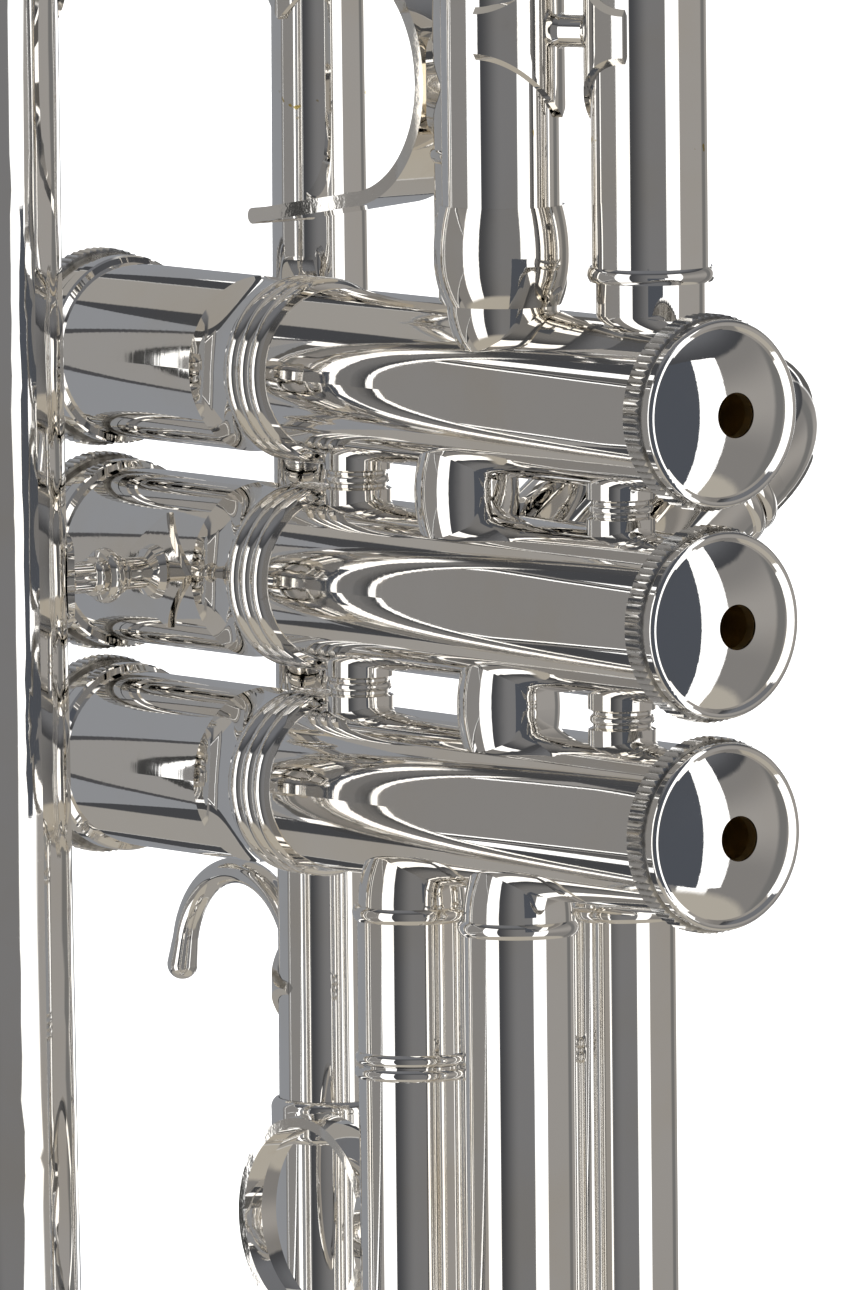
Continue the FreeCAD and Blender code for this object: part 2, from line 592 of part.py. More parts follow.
def inner_leg(reach, cover, outer="bow_outer"):
    """A leg that runs in a fixed tube: a thin part, then a thicker ferrule up to the bow."""
    return [(f"-({reach})", "leg_bore"), (f"-({reach})", "leg_outer"), (f"-({cover})", "leg_outer"),
            (f"-({cover})", outer + " + 0.2"), (f"-({cover}) + 2", outer + " + 0.2", "1.6", 1),
            (f"-({cover}) + 2", outer), ("0", outer), ("0", "leg_bore")]


def sleeve_leg(reach, outer):
    """A leg that runs over a fixed tube."""
    return [(f"-({reach})", "slide_bore"), (f"-({reach})", outer + " + 0.2"),
            (f"-({reach}) + 1.4", outer + " + 0.2", "1", 1), (f"-({reach}) + 1.4", outer), ("-2", outer),
            ("0", "bow_outer"), ("0", "leg_bore"), ("-2", "leg_bore"), ("-2", "slide_bore")]


third_bow = size("third_bow_z")
slide("third_slide", row_point("third_x_upper", "third_y", str(third_bow)),
      row_point("third_x_lower", "third_y", str(third_bow)), -Z_AXIS,
      sleeve_leg("third_collar_z - third_bow_z - 0.2", "slide_outer"),
      inner_leg("third_leg_top_z - third_bow_z", "third_sleeve_end_z - third_bow_z - 0.2"))

first_bow = size("first_bow_z")
slide("first_slide", row_point("first_x_upper", "first_y_upper", str(first_bow)),
      row_point("first_x_lower", "first_y_lower", str(first_bow)), Z_AXIS,
      sleeve_leg("first_bow_z - first_joint_z - 0.1", "first_outer"),
      inner_leg("first_bow_z - first_band_z - 3", "first_bow_z - first_lower_end_z - 0.2"))

second_points = [row_point(across, "0", "middle_valve_z") + SECOND_WAY * size("second_bow_at")
                 for across in ("second_x_upper", "second_x_lower")]
second_leg = inner_leg("second_bow_at - second_leg_start", "second_bow_at - second_sleeve_end - 0.2")
slide("second_slide", second_points[0], second_points[1], SECOND_WAY, second_leg, second_leg)

tuning_points = [row_point(across, "leadpipe_y", "tuning_bow_z") for across in ("leadpipe_x", "tuning_x")]
tuning_leg = inner_leg("tuning_leg_top_z - tuning_bow_z", "tuning_sleeve_end_z - tuning_bow_z - 0.2")
slide("tuning_slide", tuning_points[0], tuning_points[1], -Z_AXIS, tuning_leg, tuning_leg)


# ---------------------------------------------------------------- leadpipe, receiver and main slide tubes
def pipe_point(height):
    return row_point("leadpipe_x", "leadpipe_y", height)


sub_part("leadpipe", turned("leadpipe_body", along(pipe_point("leadpipe_end_z"), Z_AXIS), [
    ("0", "leg_bore"), ("0", "leadpipe_near + 0.25"), (f"{first_high} - leadpipe_end_z", "leadpipe_near"),
    ("leadpipe_top_z - leadpipe_end_z", "leadpipe_far"), ("leadpipe_top_z - leadpipe_end_z", "leadpipe_far - 0.6")]))
sub_part("leadpipe_sleeve", turned("leadpipe_sleeve_body", along(pipe_point("leadpipe_end_z"), -Z_AXIS), [
    ("-5", "leadpipe_near + 0.3"), ("-5", "slide_outer - 0.1"), ("-3.6", "slide_outer + 0.45", "1.5", 1),
    ("-1.2", "slide_outer + 0.45"),
    ("0.2", "slide_outer + 0.1", "1.5", 1), ("leadpipe_end_z - tuning_sleeve_end_z - 2", "slide_outer + 0.1"),
    ("leadpipe_end_z - tuning_sleeve_end_z - 1.8", "slide_outer + 0.4"),
    ("leadpipe_end_z - tuning_sleeve_end_z", "slide_outer + 0.4"),
    ("leadpipe_end_z - tuning_sleeve_end_z", "slide_bore"), ("0.1", "slide_bore"), ("0.1", "leadpipe_near + 0.3")]))
sub_part("mouthpiece_receiver", turned("receiver_body", along(pipe_point("leadpipe_top_z"), Z_AXIS), [
    ("-14", "leadpipe_far + 0.3"), ("-14", "leadpipe_far + 0.9"), ("-12.5", "leadpipe_far + 1.5", "1.2", 1),
    ("-10", "leadpipe_far + 1.2"),
    ("20", "7.0"), ("21", "8.0"), ("24", "8.0", "1.8", 1), ("25", "7.1"), ("receiver_top_z - leadpipe_top_z - 4.5", "7.1"),
    ("receiver_top_z - leadpipe_top_z - 4", "7.9"), ("receiver_top_z - leadpipe_top_z", "7.9", "2.4", 1),
    ("receiver_top_z - leadpipe_top_z", "5.45"), ("0.4", "4.7"), ("0.1", "leadpipe_far + 0.3")]))

elbow_top = row_point("tuning_x", "leadpipe_y", f"{third_low} - tuning_elbow")
elbow_centre = elbow_top - Y_AXIS * size("tuning_elbow")
elbow_place = placed(elbow_centre, Y_AXIS, Z_AXIS)
elbow_outer = ring_arc("elbow_outer", elbow_place, "tuning_elbow", "knuckle", 90)
elbow_bore = ring_arc("elbow_bore", elbow_place, "tuning_elbow", "leg_bore", 90)
elbow_shell = cut("elbow_shell", elbow_outer, elbow_bore)
tuning_tube = turned("tuning_lower_turned", along(elbow_top, -Z_AXIS), [
    ("0", "leg_bore"), ("0", "knuckle"), ("4", "knuckle"), ("4", "slide_outer + 0.25"),
    ("5.8", "slide_outer + 0.25", "1.4", 1),
    ("5.8", "slide_outer"), (f"{third_low} - tuning_elbow - tuning_sleeve_end_z - 2", "slide_outer"),
    (f"{third_low} - tuning_elbow - tuning_sleeve_end_z - 1.8", "slide_outer + 0.3"),
    (f"{third_low} - tuning_elbow - tuning_sleeve_end_z", "slide_outer + 0.3"),
    (f"{third_low} - tuning_elbow - tuning_sleeve_end_z", "slide_bore"), ("6", "slide_bore"), ("6", "leg_bore")])
elbow_whole = fuse("elbow_whole", elbow_shell, tuning_tube)
sub_part("tuning_lower_tube", cut("tuning_lower", elbow_whole, casing_rod("tuning_rod", 3)))


# ---------------------------------------------------------------- bell, bell bow and tail
def flare(height, offset):
    """The bell's radius at a height above the rim."""
    depth = size("flare_depth")
    spread = size("rim_radius") - size("throat_radius") - size("rim_bead")
    above = height - size("rim_bead")
    return size("throat_radius") + spread * (depth / (depth + above)) ** size("flare_power") + offset


def flare_curve(offset, low, high):
    """A smooth curve through heights that are closer together where the bell opens."""
    count = 16
    steps = [low + (high - low) * (index / (count - 1)) ** 2.2 for index in range(count)]
    curve = Part.BSplineCurve()
    curve.interpolate([V(flare(step, offset), 0, step) for step in steps])
    return curve


def bell():
    """A spun bell of thin sheet, with its rim rolled round a wire."""
    wall = size("bell_wall")
    top = size("bell_top_z")
    low = size("rim_bead")
    outer = flare_curve(0, low, top).toShape()
    inner = flare_curve(-wall, low, top).toShape()
    ends = []
    for height in (low, top):
        ends.append(Part.LineSegment(V(flare(height, -wall), 0, height), V(flare(height, 0), 0, height)).toShape())
    outline = Part.Wire(Part.__sortEdges__([outer, inner] + ends))
    shell = Part.Face(outline).revolve(ORIGIN, Z_AXIS, 360)
    rim = Part.makeTorus(size("rim_radius") - size("rim_bead"), size("rim_bead"), V(0, 0, low))
    flat = Part.makeCylinder(size("rim_radius") + 5, 1, V(0, 0, -1 + 0.12))
    return shell.fuse(rim).cut(flat).translated(V(0, 0, -0.12))


sub_part("bell", built("bell_body", bell()))

tail_top = row_point("tail_x", "tail_y", "bell_top_z")
bell_top = V(0, 0, size("bell_top_z"))
outer, bore = bow("bell_bow", bell_top, tail_top, Z_AXIS, "bell_bow_outer", "bell_bow_outer - bell_wall")
sub_part("bell_bow", cut("bell_bow_shell", outer, bore))


def joint_ring(name, place, low, outer):
    """A beaded ferrule round a joint between two tubes, opened a little where the bow starts to bend."""
    return turned(name, along(place, Z_AXIS), [
        ("-4", low), ("-4", outer + " - 0.15"), ("-3", outer, "0.9", 1), ("1.2", outer, "40", 1),
        ("2.2", outer + " - 0.15", "0.9", 1), ("2.2", "bell_bow_outer + 0.12"), ("0", "bell_bow_outer + 0.01"),
        ("0", low)])


ring_rows = doc.addObject("Part::Compound", "bow_rings")
ring_rows.Links = [joint_ring("bow_ring_bell", bell_top, "bell_bow_outer + 0.55", "bell_bow_outer + 1.1"),
                   joint_ring("bow_ring_tail", tail_top, "tail_outer + 0.02", "bell_bow_outer + 0.32")]
sub_part("bell_bow_ferrules", ring_rows)

tail_foot = row_point("tail_x", "tail_y", first_high)
tail_tube = turned("tail_tube", along(tail_foot, Z_AXIS), [
    ("5.2", "port_radius"), ("5.2", "foot_radius"), (f"tail_ferrule_low_z - {first_high}", "6.7", "10.3", 1),
    (f"tail_ferrule_high_z - {first_high} - 6", "6.7"),
    (f"tail_ferrule_high_z - {first_high} - 6", "tail_outer"), (f"bell_top_z - {first_high}", "tail_outer"),
    (f"bell_top_z - {first_high}", "tail_outer - bell_wall"),
    (f"tail_ferrule_high_z - {first_high} - 6", "tail_outer - bell_wall"),
    (f"tail_ferrule_low_z - {first_high} + 1", "port_radius")])
sub_part("bell_tail", cut("tail", tail_tube, casing_rod("tail_rod", 1)))
sub_part("tail_ferrule", turned("tail_ferrule_body", along(tail_foot, Z_AXIS), [
    (f"tail_ferrule_low_z - {first_high}", "6.72"), (f"tail_ferrule_low_z - {first_high}", "6.95"),
    (f"tail_ferrule_low_z - {first_high} + 5", "tail_ferrule_belly", "13", 1),
    (f"tail_ferrule_high_z - {first_high}", "tail_outer + 0.3", "22", 1),
    (f"tail_ferrule_high_z - {first_high}", "tail_outer + 0.02"),
    (f"tail_ferrule_high_z - {first_high} - 6", "tail_outer + 0.02"),
    (f"tail_ferrule_high_z - {first_high} - 6", "6.72")]))


# ---------------------------------------------------------------- braces and flanges
def wrapped_plate(name, centre, axis, radius, way, half, shape):
    """A thin plate bent round a tube, cut as a diamond or an oval on the side that way points to."""
    start = centre - V(axis).normalize() * (half + 2)
    outer = cylinder(name + "_outer", start, axis, f"{radius} + flange_wall", str(2 * half + 4))
    inner = cylinder(name + "_inner", start, axis, f"{radius} + 0.02", str(2 * half + 4))
    shell = cut(name + "_shell", outer, inner)
    frame = placed(centre, way, axis)
    if shape == "diamond":
        side = half * math.sqrt(2)
        turn = FreeCAD.Placement(ORIGIN, FreeCAD.Rotation(X_AXIS, 45))
        stamp = block(name + "_stamp", frame * FreeCAD.Placement(V(10, 0, 0), FreeCAD.Rotation()) * turn,
                      "20", str(side), str(side))
    else:
        stamp = bind(doc.addObject("Part::Cylinder", name + "_stamp"), Radius=str(half), Height="20")
        stamp.Placement = frame * FreeCAD.Placement(ORIGIN, FreeCAD.Rotation(Y_AXIS, 90))
    return common(name + "_plate", shell, stamp)


def post_profile(length, thick, bead):
    """A turned brace post: a stem with beads and flared feet."""
    middle = length / 2
    if length < 9:
        return [("0", "0"), ("0", f"{thick} + 0.5"), ("0.7", thick), (f"{length - 0.7}", thick),
                (f"{length}", f"{thick} + 0.5"), (f"{length}", "0")]
    return [("0", "0"), ("0", f"{thick} + 1.4"), ("1.1", f"{thick} + 0.9"), ("1.7", thick), (f"{middle - 2.6}", thick),
            (f"{middle - 1.6}", bead, "1.2", 1), (f"{middle - 1.2}", thick), (f"{middle - 1.0}", f"{bead} + 0.5"),
            (f"{middle + 1.0}", f"{bead} + 0.5", "1.4", 1), (f"{middle + 1.2}", thick),
            (f"{middle + 1.6}", bead), (f"{middle + 2.6}", thick, "1.2", 1), (f"{length - 1.7}", thick),
            (f"{length - 1.1}", f"{thick} + 0.9"), (f"{length}", f"{thick} + 1.4"), (f"{length}", "0")]


def brace(label, first, first_radius, second, second_radius, shapes=("diamond", "diamond"), half="diamond_half"):
    """A post between two upright tubes, with a plate wrapped on each."""
    way = (second - first).normalize()
    plate_wall = size("flange_wall")
    start = first + way * (size(first_radius) + plate_wall * 0.5)
    end = second - way * (size(second_radius) + plate_wall * 0.5)
    length = (end - start).Length
    post = turned(label + "_post", along(start, way), post_profile(length, "brace_post", "brace_post + 0.5"))
    plates = []
    for index, (point, radius, direction) in enumerate(((first, first_radius, way), (second, second_radius, -way))):
        plates.append(wrapped_plate(f"{label}_{index}", point, Z_AXIS, radius, direction, size(half), shapes[index]))
    clear = [cylinder(f"{label}_clear_{index}", point - Z_AXIS * 15, Z_AXIS, f"{radius} + 0.02", "30")
             for index, (point, radius) in enumerate(((first, first_radius), (second, second_radius)))]
    return sub_part(label, cut(label + "_fitted", fuse(label + "_whole", post, *plates), *clear))


tail_at = row_point("tail_x", "tail_y", "tail_brace_z")
brace("tail_brace", tail_at, "tail_outer", row_point("first_x_lower", "first_y_lower", "tail_brace_z"), "first_outer",
      half="tail_diamond_half")
front = size("front_brace_z")
brace("front_brace", V(0, 0, front), f"{flare(front, 0) + 0.1:.3f}", pipe_point("front_brace_z"), "slide_outer + 0.1")
rear = size("rear_brace_z")
rear_pipe = size("leadpipe_near") - 0.8 * (rear - valve_height(1)) / (size("leadpipe_top_z") - valve_height(1))
brace("rear_brace", V(0, 0, rear), f"{flare(rear, 0) + 0.1:.3f}", pipe_point("rear_brace_z"), f"{rear_pipe + 0.05:.3f}",
      half="diamond_half - 1.5")

post_end = row_point("bell_post_x", "0", "middle_valve_z")
post_start = V(0, 0, size("middle_valve_z"))
post_way = (post_end - post_start).normalize()
bell_here = flare(size("middle_valve_z"), 0) + 0.1
post_from = post_start + post_way * bell_here
post_to = post_end - post_way * (size("upper_barrel") + 0.4)
casing_post = turned("bell_post", along(post_from, post_way),
                     post_profile((post_to - post_from).Length, "brace_post", "brace_post + 0.5"))
casing_plate = wrapped_plate("bell_post_plate", post_end, X_AXIS, "upper_barrel", -post_way, 7.0, "diamond")
bell_plate = wrapped_plate("bell_post_foot", post_start, Z_AXIS, f"{bell_here:.3f}", post_way, 6.0, "oval")
casing_clear = casing_rod("bell_post_rod", 2, "upper_barrel + 0.02")
bell_clear = cylinder("bell_post_clear", post_start - Z_AXIS * 15, Z_AXIS, f"{bell_here + 0.02:.3f}", "30")
bell_post = fuse("bell_post_whole", casing_post, casing_plate, bell_plate)
sub_part("bell_post", cut("bell_post_fitted", bell_post, casing_clear, bell_clear))

pads = []
for number in (1, 3):
    pad_start = row_point("leadpipe_x", "0", str(valve_height(number)))
    pad = cylinder(f"pad_{number}", pad_start + Y_AXIS * 6, Y_AXIS, "3.6", "leadpipe_y - 4")
    pads.append(cut(f"pad_fitted_{number}", pad, casing_rod(f"pad_rod_{number}", number, "upper_barrel + 0.02"),
                    cylinder(f"pad_pipe_{number}", pipe_point(f"{valve_height(number)} - 15"), Z_AXIS,
                             "leadpipe_near + 0.15", "30")))
pad_group = doc.addObject("Part::Compound", "pads")
pad_group.Links = pads
sub_part("leadpipe_pads", pad_group)

# ---------------------------------------------------------------- little-finger hook, finger ring and thumb saddle
hook_foot = pipe_point("hook_z") - X_AXIS * size("leadpipe_near + 0.2")
hook_centre = hook_foot - X_AXIS * size("hook_bend")
hook_arch = ring_arc("hook_arch", placed(hook_centre, X_AXIS, Z_AXIS), "hook_bend", "hook_wire", "hook_sweep")
swept = math.radians(size("hook_sweep"))
tip_start = hook_centre + V(math.cos(swept), 0, math.sin(swept)) * size("hook_bend")
tip_way = V(-math.sin(swept), 0, math.cos(swept))
hook_end = turned("hook_end", along(tip_start, tip_way), [
    ("0", "0"), ("0", "hook_wire"), ("hook_tip", "hook_end"), ("hook_tip", "0")])
hook_parts = [hook_arch, hook_end, ball("hook_round", tip_start + tip_way * size("hook_tip"), "hook_end"),
              cylinder("hook_root", hook_foot - Z_AXIS * 5, Z_AXIS, "hook_wire", "5"),
              wrapped_plate("hook", pipe_point("hook_z - 1"), Z_AXIS, "leadpipe_near + 0.2", -X_AXIS, 7.0, "diamond")]
hook_clear = cylinder("hook_clear", pipe_point("hook_z - 20"), Z_AXIS, "leadpipe_near + 0.22", "40")
sub_part("little_finger_hook", cut("hook_fitted", fuse("hook_whole", *hook_parts), hook_clear))

third_upper_at = row_point("third_x_upper", "third_y", "finger_ring_z")
ring_centre = third_upper_at - X_AXIS * size("slide_outer + ring_outer - 0.2")
ring_band = turned("finger_band", along(ring_centre - Y_AXIS * size("ring_width / 2"), Y_AXIS), [
    ("0", "ring_outer - 0.4"), ("ring_width", "ring_outer - 0.4", "14", 1),
    ("ring_width", "ring_inner"), ("ring_width / 2", "ring_inner - 0.25", "22", -1), ("0", "ring_inner", "22", -1)])
ring_foot = wrapped_plate("finger_foot", third_upper_at, Z_AXIS, "slide_outer", -X_AXIS, 6.0, "oval")
ring_clear = cylinder("finger_clear", third_upper_at - Z_AXIS * 20, Z_AXIS, "slide_outer + 0.02", "40")
sub_part("finger_ring", cut("finger_ring_fitted", fuse("finger_whole", ring_band, ring_foot), ring_clear))

saddle_at = row_point("first_x_upper", "first_y_upper", "saddle_z")
saddle_centre = saddle_at - X_AXIS * size("first_outer + flange_wall + saddle_outer - 0.3")
saddle_disc = cylinder("saddle_disc", saddle_centre - Y_AXIS * size("saddle_width / 2"), Y_AXIS, "saddle_outer",
                       "saddle_width")
saddle_hole = cylinder("saddle_hole", saddle_centre - Y_AXIS * size("saddle_width"), Y_AXIS,
                       "saddle_outer - saddle_strap", "2 * saddle_width")
saddle_keep = block("saddle_keep", placed(saddle_centre + X_AXIS * 10), "20", "20", "40")
saddle_bend = common("saddle_bend", cut("saddle_ring", saddle_disc, saddle_hole), saddle_keep)
saddle_parts = [saddle_bend]
for index, side in enumerate((1, -1)):
    arm_length = "saddle_arm" if side < 0 else "saddle_arm * 0.8"
    droop = math.radians(size("saddle_droop")) if side < 0 else 0
    arm_way = V(-math.cos(droop), 0, -math.sin(droop))
    outward = V(math.sin(droop), 0, side * math.cos(droop))
    arm_start = saddle_centre + outward * size("saddle_outer - saddle_strap / 2")
    arm_middle = arm_start + arm_way * (size(arm_length) / 2)
    saddle_parts.append(block(f"saddle_arm_{index}", placed(arm_middle, arm_way), arm_length, "saddle_width",
                              "saddle_strap"))
    tip = arm_start + arm_way * size(arm_length)
    saddle_parts.append(cylinder(f"saddle_tip_{index}", tip - Y_AXIS * size("saddle_width / 2"), Y_AXIS,
                                 "saddle_strap / 2 + 0.15", "saddle_width"))
saddle_parts.append(wrapped_plate("saddle_foot", saddle_at, Z_AXIS, "first_outer", -X_AXIS, 7.0, "oval"))
saddle_clear = cylinder("saddle_clear", saddle_at - Z_AXIS * 20, Z_AXIS, "first_outer + 0.02", "40")
sub_part("thumb_saddle", cut("saddle_fitted", fuse("saddle_whole", *saddle_parts), saddle_clear))

# ---------------------------------------------------------------- stay across the main tuning slide
stay_points = [row_point(across, "leadpipe_y", "tuning_brace_z") for across in ("leadpipe_x", "tuning_x")]
brace("tuning_stay", stay_points[0], "bow_outer + 0.02", stay_points[1], "bow_outer + 0.02",
      half="diamond_half - 2")


# ---------------------------------------------------------------- water keys
def water_key(prefix, leg, outward, radius):
    """A drain key on a slide's leg: a nipple with hinge posts, and a lever with a cork that covers the nipple."""
    side = outward.cross(Z_AXIS)
    surface = leg + outward * size(radius)
    nipple = turned(prefix + "_nipple", along(leg, outward), [
        ("3", "1.2"), ("3", "2.6"), (f"{radius} + 1.4", "2.6"), (f"{radius} + 1.8", "2.2"), (f"{radius} + 1.8", "1.2")])
    hinge = surface + Z_AXIS * 8 + outward * 3.6
    base = wrapped_plate(prefix + "_seat", leg + Z_AXIS * 5, Z_AXIS, radius, outward, 7.0, "oval")
    posts = [base, nipple]
    for index, shift in enumerate((3.0, -3.0)):
        foot = hinge + side * shift - outward * 1.6
        posts.append(block(f"{prefix}_post_{index}", placed(foot, outward, side), "5.4", "1.2", "3.4"))
    seat = fuse(prefix + "_seat_whole", *posts)
    clear = cylinder(prefix + "_seat_clear", leg - Z_AXIS * 10, Z_AXIS, radius + " + 0.02", "40")
    pin_hole = cylinder(prefix + "_pin_hole", hinge - side * 5, side, "0.7", "10")
    sub_part(prefix + "_seat", cut(prefix + "_seat_fitted", seat, clear, pin_hole))
    pin = cylinder(prefix + "_pin", hinge - side * 4.2, side, "0.65", "8.4")
    barrel = cylinder(prefix + "_barrel", hinge - side * 2.2, side, "1.7", "4.4")
    arm = block(prefix + "_arm", placed(hinge - Z_AXIS * 4 + outward * 1.0, Z_AXIS, side), "9", "2.6", "1.3")
    cup = cylinder(prefix + "_cup", surface + outward * 2.1, outward, "3.3", "2.2")
    tail = block(prefix + "_tail", placed(hinge + Z_AXIS * 9 + outward * 1.0, Z_AXIS, side), "18", "3.4", "1.3")
    paddle = cylinder(prefix + "_paddle", hinge + Z_AXIS * 19 + outward * 0.35, outward, "4.2", "1.3")
    lever = fuse(prefix + "_lever_whole", pin, barrel, arm, cup, tail, paddle)
    return sub_part(prefix + "_lever", lever)


water_key("tuning_key", row_point("tuning_x", "leadpipe_y", "tuning_bow_z + 2"), X_AXIS, "bow_outer")


# ---------------------------------------------------------------- mouthpiece
mouth = "mouthpiece_length"
sub_part("mouthpiece", turned("mouthpiece_body", along(pipe_point("mouthpiece_seat_z"), Z_AXIS), [
    ("0", "4.2"), ("0", "4.75"), ("26", "5.2"), ("40", "5.7"), ("54", "7.6", "40", -1), ("58", "10.6", "12", -1),
    (f"{mouth} - 12", "12.0", "20", 1), (f"{mouth} - 5", "mouthpiece_rim - 0.4", "20", -1),
    (f"{mouth} - 1.6", "mouthpiece_rim", "2.6", 1), (mouth, "cup_radius + 2.6", "3.4", 1),
    (f"{mouth} - 1.4", "cup_radius", "3", 1),
    (f"{mouth} - 12", "1.9", "9", -1), (f"{mouth} - 20", "1.9"), ("20", "3.6")]))

doc.recompute()
os.makedirs("parts", exist_ok=True)
for thing in doc.Objects:
    if "Invalid" in thing.State or "Error" in thing.State:
        raise RuntimeError(f"{thing.Name} is {thing.State}")
for label, thing in NODES.items():
    if thing.Shape.isNull() or not thing.Shape.isValid():
        raise RuntimeError(f"{label} has no valid shape")
    thing.Shape.exportStep(f"parts/{label}.step")
print(len(NODES), "nodes")
for label, thing in NODES.items():
    print(f"{label:26s} solids {len(thing.Shape.Solids)}  volume {thing.Shape.Volume:10.1f}")
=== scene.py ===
import math
import bpy
from mathutils import Matrix, Vector

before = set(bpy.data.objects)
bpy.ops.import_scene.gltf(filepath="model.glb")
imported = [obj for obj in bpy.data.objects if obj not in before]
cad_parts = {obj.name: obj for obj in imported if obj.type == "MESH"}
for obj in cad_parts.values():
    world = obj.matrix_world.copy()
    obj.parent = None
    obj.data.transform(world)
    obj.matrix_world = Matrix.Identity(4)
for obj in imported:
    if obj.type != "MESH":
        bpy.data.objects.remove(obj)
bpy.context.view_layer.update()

# ------------------------------------------------------------------ camera
# A long lens looks a little down on the three bottom caps, from the side of the bell, close enough
# that the valves fill the picture from side to side.
swing = math.radians(52.3)
tilt = math.radians(6.02)
lean = math.radians(0.58)
aim = Vector((0.0780, 0.0053, 0.2733))
towards_camera = Vector((math.sin(swing) * math.cos(tilt), -math.cos(swing) * math.cos(tilt), math.sin(tilt)))
level_right = Vector((math.cos(swing), math.sin(swing), 0))
level_up = towards_camera.cross(level_right)
image_right = level_right * math.cos(lean) - level_up * math.sin(lean)
image_up = level_right * math.sin(lean) + level_up * math.cos(lean)
camera_data = bpy.data.cameras.new("studio_camera")
camera_data.lens = 563.1
camera_data.sensor_width = 36
camera_data.clip_end = 60
camera = bpy.data.objects.new("studio_camera", camera_data)
turn = Matrix((image_right, image_up, towards_camera)).transposed().to_4x4()
camera.matrix_world = Matrix.Translation(aim + towards_camera * 2.37) @ turn
bpy.context.scene.collection.objects.link(camera)
bpy.context.scene.camera = camera
bpy.context.scene.view_settings.view_transform = "Standard"


# ------------------------------------------------------------------ studio
# Polished silver shows only what stands round it: a dark camera side between two tall white boards, warm
# grey walls beyond them, and a white backdrop.  Cards near the valves, which only reflections see, give the
# looped lines along the casings and the dark and lit halves of the cap domes.
class Shade:
    """A socket of a node tree that takes part in ordinary sums."""

    def __init__(self, tree, socket):
        self.tree = tree
        self.socket = socket

    def node(self, kind, settings=None, output=0, **inputs):
        """Adds a node: first its settings, then its sockets, by name or by place (i0, i1 and so on)."""
        made = self.tree.nodes.new(kind)
        for name, value in (settings or {}).items():
            setattr(made, name, value)
        for name, value in inputs.items():
            key = int(name[1:]) if name[1:].isdigit() else name.replace("_", " ")
            if isinstance(value, Shade):
                self.tree.links.new(value.socket, made.inputs[key])
            else:
                made.inputs[key].default_value = value
        return Shade(self.tree, made.outputs[output])

    def math(self, operation, *others):
        values = {f"i{index}": value for index, value in enumerate((self, *others))}
        return self.node("ShaderNodeMath", {"operation": operation}, **values)

    def __add__(self, other):
        return self.math("ADD", other)

    def __sub__(self, other):
        return self.math("SUBTRACT", other)

    def __mul__(self, other):
        return self.math("MULTIPLY", other)

    def flip(self):
        """1 where this is 0, and 0 where it is 1."""
        return self.math("MULTIPLY_ADD", -1.0, 1.0)

    def step(self, low, high):
        """0 below low and 1 above high, with a smooth rise between."""
        return self.node("ShaderNodeMapRange", {"interpolation_type": "SMOOTHSTEP"},
                         Value=self, From_Min=low, From_Max=high)

    def between(self, low, high, soft):
        """1 between two limits and 0 outside them."""
        return self.step(low - soft, low + soft) * self.step(high - soft, high + soft).flip()

    def mix(self, first, second):
        """Blends two colours by this mask."""
        made = self.tree.nodes.new("ShaderNodeMix")
        made.data_type = "RGBA"
        self.tree.links.new(self.socket, made.inputs["Factor"])
        for place, colour in ((6, first), (7, second)):
            if isinstance(colour, Shade):
                self.tree.links.new(colour.socket, made.inputs[place])
            else:
                made.inputs[place].default_value = (*colour, 1)
        return Shade(self.tree, made.outputs[2])

    def split(self):
        """The three numbers of a vector."""
        made = self.tree.nodes.new("ShaderNodeSeparateXYZ")
        self.tree.links.new(self.socket, made.inputs[0])
        return [Shade(self.tree, made.outputs[axis]) for axis in range(3)]

    def noise(self, scale, detail=2.0, roughness=0.5, stretch=(1, 1, 1)):
        spread = self.node("ShaderNodeMapping", {"vector_type": "POINT"}, Vector=self, Scale=stretch)
        return self.node("ShaderNodeTexNoise", {}, Vector=spread, Scale=scale, Detail=detail,
                         Roughness=roughness)


world = bpy.data.worlds.new("studio")
world.use_nodes = True
bpy.context.scene.world = world
tree = world.node_tree
direction = Shade(tree, tree.nodes.new("ShaderNodeTexCoord").outputs["Generated"])
east, north, height = direction.split()
right = east * math.cos(swing) + north * math.sin(swing)
front = east * math.sin(swing) - north * math.cos(swing)
bearing = right.math("ARCTAN2", front) * math.degrees(1)
rise = height.math("ARCSINE") * math.degrees(1)
white = (1.5, 1.5, 1.5)
near_black = (0.06, 0.062, 0.068)
walls = rise.math("ABSOLUTE").step(2, 24).mix((0.33, 0.315, 0.30), (0.22, 0.212, 0.205))
walls = bearing.between(118, 132, 3).mix(walls, (0.17, 0.168, 0.165))
camera_side = bearing.step(-40, 0).mix(near_black, (0.185, 0.184, 0.188))
room = bearing.between(-42, 30, 1).mix(walls, camera_side)
for low, high in ((-70, -41), (30, 58)):
    room = bearing.between(low, high, 1).mix(room, white)
room = bearing.math("ABSOLUTE").step(143, 147).mix(room, white)
camera_half = bearing.between(-96, 146, 2)
dim_ceiling = rise.step(30, 52).mix(near_black, (0.16, 0.165, 0.18))
room = (rise.step(28, 31) * camera_half).mix(room, dim_ceiling)
room = (rise.step(-43, -38).flip() * camera_half).mix(room, (0.43, 0.40, 0.35))
steepness = rise.math("ABSOLUTE")
for low, high, colour in ((11, 24, (0.11, 0.108, 0.106)), (24, 27, white), (27, 34, near_black),
                          (34, 91, (0.33, 0.315, 0.295))):
    room = (steepness.between(low, high, 0.3) * camera_half.flip()).mix(room, colour)
tree.links.new(room.socket, tree.nodes["Background"].inputs["Color"])

